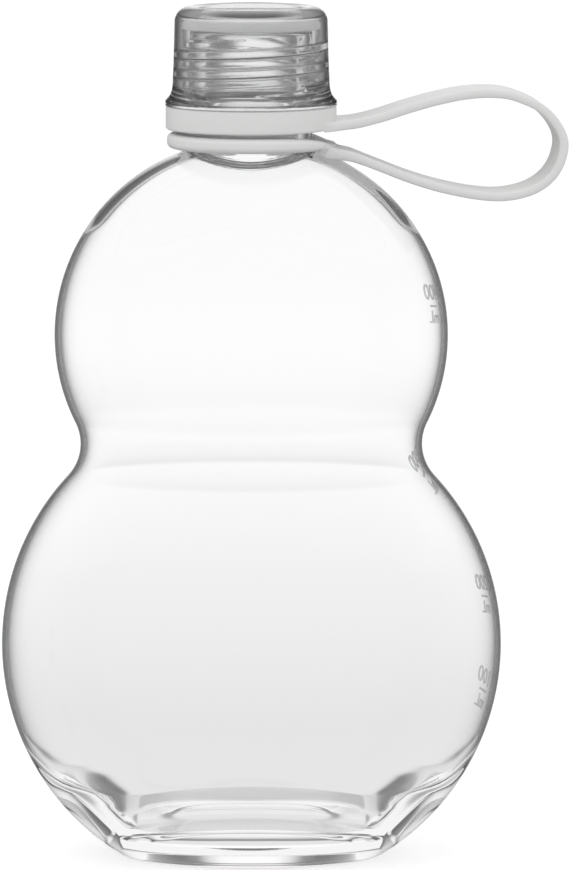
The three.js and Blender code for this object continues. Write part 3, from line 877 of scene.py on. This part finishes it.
class GOURD_OT_bottle(bpy.types.Operator):
    """Make the clear bottle with its walls, heel, neck and thread"""
    bl_idname = "gourd.bottle"
    bl_label = "Bottle"

    def execute(self, context):
        s = settings(context)
        made = smooth_solid("clear_bottle", *bottle_mesh(s.bottle),
                            materials(s.finishes)["Clear bottle plastic"])
        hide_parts("bottle")
        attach(made, "bottle")
        return {"FINISHED"}


def text_points(text, height, relief):
    """Points [across, up, out] and polygons of a raised word, its middle at zero, that high and thick."""
    curve = bpy.data.curves.new("word", "FONT")
    curve.body = text
    curve.align_x, curve.align_y = "CENTER", "CENTER"
    curve.size = height / 0.7
    curve.resolution_u = 3
    curve.extrude = relief / 2
    word = new_object("word", curve)
    bpy.context.view_layer.update()
    mesh = bpy.data.meshes.new_from_object(word)
    co = np.zeros(len(mesh.vertices) * 3)
    mesh.vertices.foreach_get("co", co)
    polygons = [list(p.vertices) for p in mesh.polygons]
    bpy.data.objects.remove(word)
    bpy.data.curves.remove(curve)
    bpy.data.meshes.remove(mesh)
    return co.reshape(-1, 3), polygons


def bar_points(width, height, relief):
    """Points and polygons of a raised bar, cut into short lengths so that it follows the wall."""
    cuts = 8
    x = np.linspace(-width / 2, width / 2, cuts + 1)
    corner = np.array([[-1, -1], [1, -1], [1, 1], [-1, 1]]) * [height / 2, relief / 2]
    points = np.array([[px, *c] for px in x for c in corner])
    quads = ring_faces(cuts + 1, 4).tolist()
    return points, quads + [[3, 2, 1, 0], [cuts * 4, cuts * 4 + 1, cuts * 4 + 2, cuts * 4 + 3]]


class GOURD_OT_marks(bpy.types.Operator):
    """Make the raised volume marks on the back of the right side"""
    bl_idname = "gourd.marks"
    bl_label = "Volume marks"

    def execute(self, context):
        s = settings(context)
        m = s.marks
        body = BodyShape(s.bottle)
        places = {"400": (m.level_400, m.upper_turn_back), "300": (m.level_300, m.upper_turn_back),
                  "200": (m.level_200, m.turn_back), "100": (m.level_100, m.turn_back)}
        outline = body.outside()
        lean = np.gradient(outline[:, 0], outline[:, 1])
        points, polygons = [], []
        for word, (level, turn_back) in places.items():
            tilt = m.lean_share * np.interp(level, outline[:, 1], lean)
            parts = [
                (*text_points(word, m.digit_height, m.relief), m.row_step + m.digit_height / 2),
                (*bar_points(m.tick_width, m.tick_height, m.relief), 0.0),
                (*text_points("mL", m.digit_height * 0.8, m.relief), -m.row_step - m.digit_height * 0.4),
            ]
            for flat, faces, shift in parts:
                up = level + shift + flat[:, 1] + tilt * flat[:, 0]
                middle = np.full(len(flat), turn_back)
                _, _, scale = body.wall_point(middle, np.full(len(flat), level))
                angle = turn_back + flat[:, 0] / scale
                here, out, _ = body.wall_point(angle, up)
                first = len(points)
                points.extend((here + out * (flat[:, 2:] + m.relief / 2 + TOUCH)).tolist())
                polygons.extend([[first + i for i in p] for p in faces])
        # The marks take the grey tint, painted shade for the dark outlines of their clear relief
        made = mesh_object("volume_marks", points, polygons, materials(s.finishes)["Raised mark with painted shade"])
        turn_out(made.data)
        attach(made, "bottle")
        return {"FINISHED"}


def turn_out(mesh):
    """Merges doubled points and makes each closed solid's faces point out."""
    work = bmesh.new()
    work.from_mesh(mesh)
    bmesh.ops.remove_doubles(work, verts=work.verts, dist=TOUCH / 10)
    bmesh.ops.recalc_face_normals(work, faces=work.faces)
    work.to_mesh(mesh)
    work.free()


class GOURD_OT_cap(bpy.types.Operator):
    """Make the smoky cap with its thread, skirt and dished top, and the liner in it"""
    bl_idname = "gourd.cap"
    bl_label = "Cap and liner"

    def execute(self, context):
        s = settings(context)
        looks = materials(s.finishes)
        cap = smooth_solid("smoky_cap", *cap_mesh(s.cap, s.bottle), looks["Smoky cap plastic"])
        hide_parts("cap")
        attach(cap, "cap")
        liner = smooth_solid("sealing_disc", *liner_mesh(s.cap), looks["Liner foam"])
        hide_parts("cap_liner")
        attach(liner, "cap_lifter")
        return {"FINISHED"}


class GOURD_OT_strap(bpy.types.Operator):
    """Make the one-piece strap: cap ring, neck ring and loop"""
    bl_idname = "gourd.strap"
    bl_label = "Strap"

    def execute(self, context):
        s = settings(context)
        made = smooth_solid("silicone_strap", *strap_mesh(s.strap), materials(s.finishes)["Strap silicone"])
        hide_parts("strap_cap_ring", "strap_loop", "strap_neck_ring")
        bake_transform(made)
        return {"FINISHED"}


def bent_ray(tree):
    """1 for rays that glass bends or a gloss throws back, else 0."""
    path = node(tree, "LightPath")
    return sum_node(tree, "MAXIMUM", path["Is Glossy Ray"], path["Is Transmission Ray"])


def ramp_node(tree, value, stops):
    """Colour ramp of greys at [position, level] stops."""
    ramp = tree.nodes.new("ShaderNodeValToRGB")
    feed(ramp, {0: value})
    places = ramp.color_ramp.elements
    while len(places) < len(stops):
        places.new(0.5)
    for place, (position, level) in zip(places, stops):
        place.position = position
        place.color = grey(level)
    return ramp.outputs["Color"]


def room_light(tree, s):
    """Brightness of the studio in a direction. Rays that only pass through walls see white windows at equal
    steps round the bottle and grey between them, after the cosine of the windows' number times the
    direction's angle. Rays that a surface has thrown back see the same close to straight behind the bottle,
    elsewhere a grey that lightens to the sides, and near white where they rise or fall steeply. The room is
    darker below the table's edge and has no windows overhead."""
    axes = node(tree, "SeparateXYZ", {0: node(tree, "TexCoord")["Generated"]})
    turn = sum_node(tree, "ARCTAN2", axes["Y"], axes["X"])
    wave = sum_node(tree, "COSINE", sum_node(tree, "MULTIPLY", turn, s.windows))
    wave = sum_node(tree, "MULTIPLY_ADD", wave, 0.5, 0.5)
    windows = ramp_node(tree, wave, ((0, 0.06), (0.2, 0.09), (0.45, s.grey), (0.65, 0.72), (0.81, 0.95),
                                     (0.9, 1)))
    upright = sum_node(tree, "ABSOLUTE", axes["Z"])
    windows = mix_node(tree, range_node(tree, upright, 0.4, 0.8, 0.0, 1.0), windows, 0.7)
    fall = range_node(tree, axes["Z"], -0.176, -0.112, s.low_light, 1.0)
    straight = sum_node(tree, "MULTIPLY", windows, fall)
    sides = ramp_node(tree, range_node(tree, axes["Y"], 0.0, 1.0, 0.0, 1.0),
                      ((0, 1), (0.28, 0.88), (0.62, 0.55), (0.81, 0.36), (0.88, 0.24), (0.94, 0.12)))
    sides = sum_node(tree, "MULTIPLY", sides, range_node(tree, axes["Z"], -0.5, -0.1, 0.8, 1.0))
    ahead = range_node(tree, axes["Y"], 0.88, 0.93, 0.0, 1.0)
    thrown = mix_node(tree, ahead, sides, straight)
    thrown = mix_node(tree, range_node(tree, upright, 0.4, 0.7, 0.0, 1.0), thrown, 0.92)
    was_thrown = sum_node(tree, "GREATER_THAN", node(tree, "LightPath")["Glossy Depth"], 0.5)
    return mix_node(tree, was_thrown, straight, thrown)


def floor_material(s):
    """Pale matt floor that keeps the shadow and is lifted to white for the camera. Rays that glass bends
    or a gloss throws back go through it to the room's own light."""
    material = bpy.data.materials.new("Pale floor")
    material.use_nodes = True
    tree = material.node_tree
    tree.nodes.clear()
    lift = sum_node(tree, "MULTIPLY", node(tree, "LightPath")["Is Camera Ray"], s.floor_glow)
    matt = node(tree, "AddShader", {0: node(tree, "BsdfDiffuse", {"Color": grey(0.6)})[0],
                                    1: node(tree, "Emission", {"Strength": lift})[0]})[0]
    mix = node(tree, "MixShader", {0: bent_ray(tree), 1: matt, 2: node(tree, "BsdfTransparent")[0]})
    node(tree, "OutputMaterial", {"Surface": mix[0]})
    return material


class GOURD_OT_stage(bpy.types.Operator):
    """Make the floor, the room's light, the lamps and the camera"""
    bl_idname = "gourd.stage"
    bl_label = "Stage"

    def execute(self, context):
        s = settings(context).stage
        scene = context.scene
        scene.view_settings.view_transform = "Standard"
        self.make_world(scene, s)
        self.make_floor(s)
        self.make_lamps()
        self.make_camera(scene, s)
        return {"FINISHED"}

    def make_world(self, scene, s):
        """Plain light for matt surfaces, white for the camera, and the room's windows for bent rays."""
        world = bpy.data.worlds.new("Studio")
        scene.world = world
        world.use_nodes = True
        tree = world.node_tree
        tree.nodes.clear()
        room = mix_node(tree, bent_ray(tree), s.matt_light, room_light(tree, s))
        level = mix_node(tree, node(tree, "LightPath")["Is Camera Ray"], room, 1.0)
        back = node(tree, "Background", {"Color": grey(1), "Strength": level})
        node(tree, "OutputWorld", {"Surface": back[0]})

    def make_floor(self, s):
        """Square floor just under the foot."""
        half, down = s.floor_half, -s.floor_gap
        corners = [(-half, -half, down), (half, -half, down), (half, half, down), (-half, half, down)]
        floor = mesh_object("floor", corners, [[0, 1, 2, 3]], floor_material(s))

    def make_lamps(self):
        """Two soft lamps in front, which only light matt surfaces directly."""
        for name, place, power, size in (("key", (-0.9, -1.0, 1.5), 9.0, 1.2),
                                         ("fill", (1.2, -0.6, 1.0), 4.0, 1.2)):
            lamp = bpy.data.lights.new(name, "AREA")
            lamp.energy, lamp.size = power, size
            made = new_object(name, lamp)
            made.location = place
            made.rotation_euler = (Vector((0, 0, 0.09)) - made.location).to_track_quat("-Z", "Y").to_euler()
            made.visible_glossy = made.visible_transmission = False

    def make_camera(self, scene, s):
        """Camera in front of the bottle, a little to the loop's side, that frames the whole object."""
        camera = bpy.data.cameras.new("camera")
        made = new_object("camera", camera)
        made.location = (s.aside, -s.distance, s.height)
        aim = Vector((s.aside, 0, s.aim)) - made.location
        made.rotation_euler = aim.to_track_quat("-Z", "Y").to_euler()
        camera.lens = camera.sensor_width * aim.length / s.view_height
        camera.clip_start = 0.05
        scene.camera = made


class GOURD_PT_panel(bpy.types.Panel):
    """Buttons and sizes of the gourd bottle"""
    bl_label = "Gourd bottle"
    bl_idname = "GOURD_PT_panel"
    bl_space_type = "VIEW_3D"
    bl_region_type = "UI"
    bl_category = "Bottle"

    def draw(self, context):
        layout = self.layout
        for operator in OPERATORS:
            layout.operator(operator.bl_idname)
        for name in ("bottle", "cap", "strap", "marks", "finishes", "stage"):
            group = getattr(settings(context), name)
            box = layout.box()
            box.label(text=name.capitalize())
            for key in group.__annotations__:
                box.prop(group, key)


OPERATORS = (GOURD_OT_bottle, GOURD_OT_marks, GOURD_OT_cap, GOURD_OT_strap, GOURD_OT_stage)
GROUPS = (BottleSizes, CapSizes, StrapSizes, MarkSizes, Finishes, StageSettings, GourdBottle)


def register():
    for made in (*GROUPS, *OPERATORS, GOURD_PT_panel):
        bpy.utils.register_class(made)
    bpy.types.Scene.gourd_bottle = PointerProperty(type=GourdBottle)


def unregister():
    del bpy.types.Scene.gourd_bottle
    for made in reversed((*GROUPS, *OPERATORS, GOURD_PT_panel)):
        bpy.utils.unregister_class(made)


def main():
    register()
    bpy.ops.gourd.bottle()
    bpy.ops.gourd.marks()
    bpy.ops.gourd.cap()
    bpy.ops.gourd.strap()
    bpy.ops.gourd.stage()


if __name__ == "__main__":
    main()
